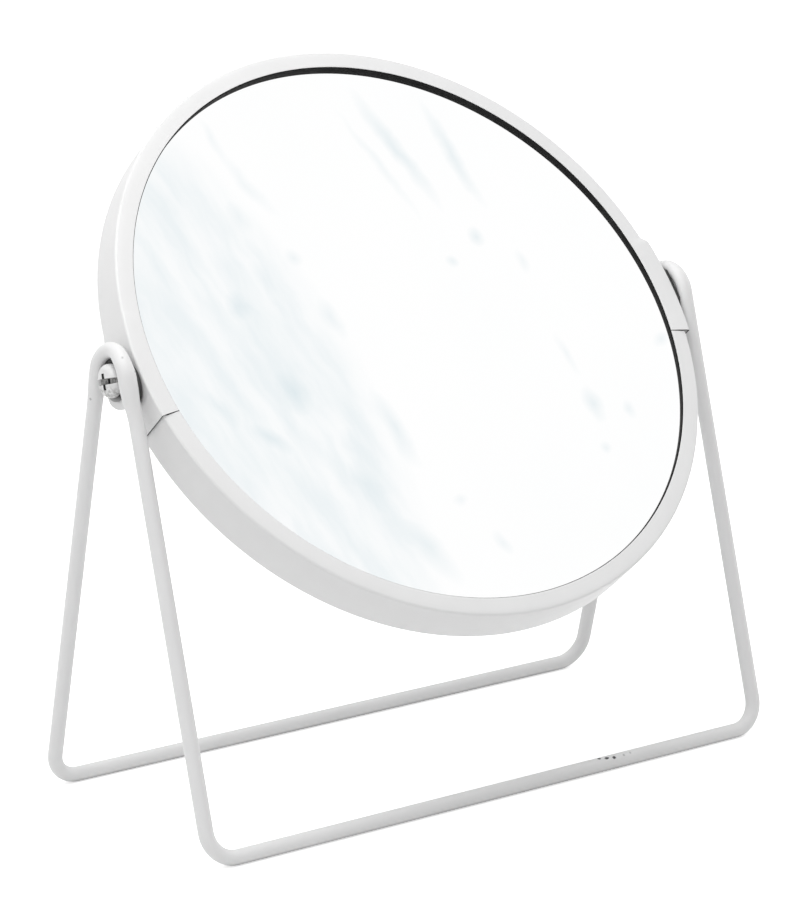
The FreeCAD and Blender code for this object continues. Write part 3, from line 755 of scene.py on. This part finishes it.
def powder_coat(name, white, peel_scale, chips=(), contact_shade=0):
    """White powder coat: slight mottle and orange peel, and chips of (place, reach, darkness) in millimetres.

    Up to a given height above the table it is greyed with painted shade, standing for the contact shadow
    where the wire rests on the table.
    """
    finish, tree, shader = new_finish(name, IOR=1.5)
    colour = mottled(tree, noise(tree, 90, 4), grey(white * 0.98), grey(white))
    if contact_shade:
        # Painted contact shade, greyer towards the table
        share = between(tree, height_of(tree), 0.1 * contact_shade * MM, contact_shade * MM, 0.75, 0)
        colour = blend_colour(tree, share, colour, CONTACT_SHADE_GREY)
    vector = shaken(tree, 2500, CHIP_SHAKE * MM) if chips else None
    for place, reach, darkness in chips:
        middle = [(at + CHIP_SHAKE / 2) * MM for at in place]
        spot = spot_at(tree, vector, middle, [length * MM for length in reach])
        colour = blend_colour(tree, between(tree, spot, 0.15, 0.5, 0, darkness), colour, CHIP_STEEL)
    coloured(tree, shader, colour)
    roughened(tree, shader, noise(tree, 220, 3), 0.36, 0.44)
    bumped(tree, shader, noise(tree, peel_scale, 2))
    return finish


def screw_paint():
    """White paint, grey with painted shade in patches on the lower half of the head."""
    finish, tree, shader = new_finish("screw_paint", IOR=1.5)
    sound = mottled(tree, noise(tree, 400, 3), grey(0.74), grey(0.8))
    # Painted shade: the head's lower half darkened, broken into patches by noise
    shaded_half = between(tree, height_of(tree), SHADE_BOTTOM * MM, PIVOT_HEIGHT * MM, 0.8, 0)
    shade_patches = between(tree, noise(tree, 1100, 5), 0.38, 0.6, 0, 1)
    share = add(tree, "ShaderNodeMath", {0: shaded_half, 1: shade_patches}, operation="MULTIPLY").outputs[0]
    coloured(tree, shader, blend_colour(tree, share, sound, (0.3, 0.3, 0.29)))
    roughened(tree, shader, noise(tree, 700, 2), 0.34, 0.44)
    bumped(tree, shader, noise(tree, 1600, 2))
    return finish


def slot_painted_shade():
    """Painted shade in the slot of the driver recess: mid grey with darker patches."""
    finish, tree, shader = new_finish("slot_painted_shade", IOR=1.5)
    patches = noise(tree, 900, 4)
    coloured(tree, shader, ramp(tree, patches, 0.42, 0.6, (0.42, 0.42, 0.41), grey(0.1)))
    tree.links.new(between(tree, patches, 0.4, 0.6, 0.55, 0.4), shader.inputs["Roughness"])
    return finish


def cross_painted_shade():
    """Painted shade in the cross arms of the driver recess: near black."""
    finish, tree, shader = new_finish("cross_painted_shade", IOR=1.5)
    coloured(tree, shader, mottled(tree, noise(tree, 900, 3), grey(0.015), grey(0.035)))
    roughened(tree, shader, noise(tree, 900, 3), 0.7, 0.85)
    return finish


def black_nylon_and_shade():
    """Black nylon with a satin skin; on the washers its black also stands in as painted shade beside the
    eyes.
    """
    finish, tree, shader = new_finish("black_nylon_and_shade", IOR=1.53)
    coloured(tree, shader, mottled(tree, noise(tree, 300, 3), grey(0.02), grey(0.035)))
    roughened(tree, shader, noise(tree, 900, 2), 0.42, 0.55)
    return finish


def black_steel():
    """Spring steel blackened in oil, lighter grey towards its lower edge."""
    finish, tree, shader = new_finish("black_steel", IOR=1.45, Specular_IOR_Level=0.3)
    dark = mottled(tree, noise(tree, 500, 4), grey(0.012), grey(0.03))
    lower_edge_share = between(tree, height_of(tree), GREY_EDGE_BOTTOM * MM, GREY_EDGE_TOP * MM, 0.8, 0)
    coloured(tree, shader, blend_colour(tree, lower_edge_share, dark, grey(0.42)))
    roughened(tree, shader, noise(tree, 800, 3), 0.45, 0.6)
    return finish


def seam_painted_shade():
    """End faces of the rim's sheet at the seams, near black: painted shade of the seams' gaps."""
    finish, tree, shader = new_finish("seam_painted_shade", IOR=1.45, Specular_IOR_Level=0.3)
    coloured(tree, shader, mottled(tree, noise(tree, 900, 4), grey(0.03), grey(0.08)))
    roughened(tree, shader, noise(tree, 800, 3), 0.55, 0.7)
    return finish


def zinc_plate():
    """Zinc-plated steel with a fine spangle and a drawn grain."""
    finish, tree, shader = new_finish("zinc_plate", Metallic=1.0)
    spangle = noise(tree, 600, 4, (1, 1, 4))
    coloured(tree, shader, mottled(tree, spangle, (0.5, 0.5, 0.52), (0.66, 0.66, 0.67)))
    roughened(tree, shader, noise(tree, 800, 3, (1, 1, 6)), 0.3, 0.48)
    return finish


def black_rubber():
    """Matt black rubber."""
    finish, tree, shader = new_finish("black_rubber", IOR=1.45, Specular_IOR_Level=0.15)
    coloured(tree, shader, mottled(tree, noise(tree, 350, 3), grey(0.006), grey(0.014)))
    roughened(tree, shader, noise(tree, 1200, 2), 0.6, 0.75)
    bumped(tree, shader, noise(tree, 1500, 3))
    return finish


def silvered_mirror():
    """Clean mirror with the faintest wiping haze."""
    finish, tree, shader = new_finish("silvered_mirror", Metallic=1.0)
    haze = noise(tree, 30, 3, (1, 1, 0.35))
    coloured(tree, shader, ramp(tree, haze, 0.35, 0.7, (0.997, 0.998, 0.998), (0.988, 0.993, 0.994)))
    tree.links.new(between(tree, haze, 0.4, 0.8, 0.0, 0.02), shader.inputs["Roughness"])
    return finish


def fibre_board():
    """Raw brown board of pressed fibres."""
    finish, tree, shader = new_finish("fibre_board")
    fibres = noise(tree, 900, 6, (1, 3, 1))
    coloured(tree, shader, mottled(tree, fibres, (0.34, 0.26, 0.18), (0.5, 0.4, 0.29)))
    roughened(tree, shader, noise(tree, 500, 3), 0.8, 0.95)
    bumped(tree, shader, noise(tree, 1400, 4), 0.3, 2 * PEEL_DEPTH)
    return finish


def spacer_plastic():
    """Dark grey moulded plastic."""
    finish, tree, shader = new_finish("spacer_plastic")
    coloured(tree, shader, mottled(tree, noise(tree, 250, 3), grey(0.2), grey(0.27)))
    roughened(tree, shader, noise(tree, 900, 2), 0.45, 0.6)
    return finish


# Studio
def aim_camera():
    """Camera with the pivot where the photograph has it. Returns its sight of the pivot, right and up."""
    cos_e, sin_e = cos(VIEW_ELEVATION), sin(VIEW_ELEVATION)
    back = Vector((sin(VIEW_AZIMUTH) * cos_e, -cos(VIEW_AZIMUTH) * cos_e, sin_e))
    level = Vector((cos(VIEW_AZIMUTH), sin(VIEW_AZIMUTH), 0))
    upright = back.cross(level)
    right = level * cos(VIEW_ROLL) + upright * sin(VIEW_ROLL)
    up = upright * cos(VIEW_ROLL) - level * sin(VIEW_ROLL)
    aside = (PIVOT_PIXEL[0] - (PHOTO_SIZE[0] - 1) / 2) / VIEW_FOCAL
    above = ((PHOTO_SIZE[1] - 1) / 2 - PIVOT_PIXEL[1]) / VIEW_FOCAL
    sight = right * aside + up * above - back
    spot = Vector((0, 0, PIVOT_HEIGHT)) - VIEW_DISTANCE * sight
    camera = bpy.data.cameras.new("photo_camera")
    camera.sensor_width = SENSOR_WIDTH
    camera.lens = SENSOR_WIDTH * VIEW_FOCAL / PHOTO_SIZE[1]
    camera.clip_start = NEAR_LIMIT
    holder = bpy.data.objects.new("photo_camera", camera)
    holder.matrix_world = Matrix.Translation(spot * MM) @ Matrix((right, up, back)).transposed().to_4x4()
    bpy.context.scene.collection.objects.link(holder)
    bpy.context.scene.camera = holder
    return sight.normalized(), right, up


def seen_or_mirrored(tree):
    """1 for rays from the camera, off gloss or through glass, and 0 for the light on the object."""
    rays = add(tree, "ShaderNodeLightPath").outputs
    any_of = rays["Is Camera Ray"]
    for kind in ("Is Glossy Ray", "Is Transmission Ray"):
        any_of = add(tree, "ShaderNodeMath", {0: any_of, 1: rays[kind]}, operation="MAXIMUM").outputs[0]
    return any_of


def white_room(level):
    """White all round: full white where it is seen, and a plain level as light."""
    world = bpy.data.worlds.new("white_room")
    world.use_nodes = True
    tree = world.node_tree
    strength = between(tree, seen_or_mirrored(tree), 0, 1, level, 1.0)
    shade = tree.nodes["Background"]
    shade.inputs["Color"].default_value = (*WHITE, 1)
    tree.links.new(strength, shade.inputs["Strength"])
    bpy.context.scene.world = world


def stage_plane(name, size, finish):
    """Square of the stage, which doesn't belong to the object."""
    bm = bmesh.new()
    bmesh.ops.create_grid(bm, x_segments=1, y_segments=1, size=size)
    plane = as_object(bm, name, finish)
    return plane


def white_floor(albedo, lift):
    """Pale floor that keeps the contact shadow and is lifted to white where it is seen."""
    paper, tree, shader = new_finish("white_paper", Roughness=0.9, Specular_IOR_Level=0.1)
    coloured(tree, shader, mottled(tree, noise(tree, 40, 2), grey(albedo * 0.98), grey(albedo)))
    shader.inputs["Emission Color"].default_value = (*WHITE, 1)
    tree.links.new(between(tree, seen_or_mirrored(tree), 0, 1, 0, lift), shader.inputs["Emission Strength"])
    stage_plane("floor", FLOOR_HALF, paper)


def streaks(tree, vector, degrees, length, width):
    """Noise drawn out along one direction of the card."""
    mapped = add(tree, "ShaderNodeMapping", {"Vector": vector, "Rotation": (0, 0, radians(degrees)),
                                             "Scale": (length, width, 1)}, vector_type="TEXTURE")
    texture = add(tree, "ShaderNodeTexNoise", {"Vector": mapped.outputs[0], "Scale": 1.0, "Detail": 4})
    return texture.outputs["Fac"]


def cloud_card(sight, right, up):
    """Card of thin clouds that is seen in reflections only."""
    facing = HEAD_PLACE.to_3x3() @ GLASS_ASKEW @ Vector((0, -1, 0))
    away = sight.reflect(facing)
    start = Vector((0, 0, PIVOT_HEIGHT)) + sight * (GLASS_FRONT / sight.dot(facing))
    pixel = (VIEW_DISTANCE + CARD_DISTANCE) * MM / VIEW_FOCAL
    sky = bpy.data.materials.new("thin_clouds")
    sky.use_nodes = True
    tree = sky.node_tree
    tree.nodes.clear()
    vector = shaken(tree, 45, CLOUD_SHAKE)

    def cloud(aside, above, length, width, degrees):
        """1 in the middle of a cloud, given in pixels, falling to 0 at its edge."""
        place = (aside * pixel + CLOUD_SHAKE / 2, above * pixel + CLOUD_SHAKE / 2, CLOUD_SHAKE / 2)
        return spot_at(tree, vector, place, (length * pixel, width * pixel, 1), radians(degrees))

    *bank, bank_depth = CLOUD_BANK
    wisps = streaks(tree, vector, bank[-1], WISP_LENGTH * pixel, WISP_WIDTH * pixel)
    cover = between(tree, cloud(*bank), *BANK_EDGE, 0, bank_depth)
    total = add(tree, "ShaderNodeMath", {0: cover, 1: between(tree, wisps, *WISP_NOISE, *WISP_COVER)},
                operation="MULTIPLY").outputs[0]
    for *shape, depth in CLOUDS:
        total = add(tree, "ShaderNodeMath", {0: cloud(*shape), 1: depth, 2: total},
                    operation="MULTIPLY_ADD").outputs[0]
    glow = add(tree, "ShaderNodeEmission", {"Color": ramp(tree, total, 0, 1, WHITE, CLOUD_COLOUR)})
    shown = add(tree, "ShaderNodeOutputMaterial", {"Surface": glow.outputs[0]})
    shown.is_active_output = True
    card = stage_plane("cloud_card", CARD_HALF, sky)
    spot = (start + away * CARD_DISTANCE) * MM
    turn = Matrix((right.reflect(facing), up.reflect(facing), away)).transposed()
    card.matrix_world = Matrix.Translation(spot) @ turn.to_4x4()
    card.visible_camera = False
    card.visible_diffuse = False
    card.visible_transmission = False
    card.visible_shadow = False


def soft_box(name, spot, target, width, power):
    """Square lamp at a spot, turned to its target."""
    lamp = bpy.data.lights.new(name, "AREA")
    lamp.shape = "SQUARE"
    lamp.size = width
    lamp.energy = power
    holder = bpy.data.objects.new(name, lamp)
    aim = (Vector(target) - Vector(spot)).to_track_quat("-Z", "Y")
    holder.matrix_world = Matrix.Translation(spot) @ aim.to_matrix().to_4x4()
    bpy.context.scene.collection.objects.link(holder)


stand_coat = powder_coat("stand_coat_white", 0.77, 1100, CHIPS, CONTACT_SHADE_HEIGHT)
rim_coat = powder_coat("rim_coat_white", 0.78, 1300)
paint = screw_paint()
slot_shade = slot_painted_shade()
cross_shade = cross_painted_shade()
nylon_and_shade = black_nylon_and_shade()
blackened = black_steel()
seam_shade = seam_painted_shade()
zinc = zinc_plate()
rubber = black_rubber()
silver = silvered_mirror()

stand_loop(stand_coat)
rim_arch(rim_coat, seam_shade)
rim_bow(rim_coat, seam_shade)
for hand, side in (("left", -1), ("right", 1)):
    pivot_plate(hand, side, stand_coat)
    pivot_screw(hand, side, paint, slot_shade, cross_shade)
    friction_washer(hand, side, nylon_and_shade)
glass_gasket("collar_front", -1, "front_gasket", rubber)
glass_gasket("collar_rear", 1, "rear_gasket", rubber)
plain_mirror(silver)
magnifying_mirror(silver)

kept_solids = {
    "spring_washer_left": blackened, "spring_washer_right": blackened,
    "nut_plate_left": zinc, "nut_plate_right": zinc,
    "backing_board": fibre_board(), "spacer_ring": spacer_plastic(),
}
for node, finish in kept_solids.items():
    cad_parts[node].material_slots[0].material = finish

cloud_card(*aim_camera())
white_room(ROOM_LIGHT)
white_floor(FLOOR_WHITE, FLOOR_LIFT)
for name, lamp in LAMPS.items():
    soft_box(name, *lamp)
bpy.context.scene.view_settings.view_transform = "Standard"
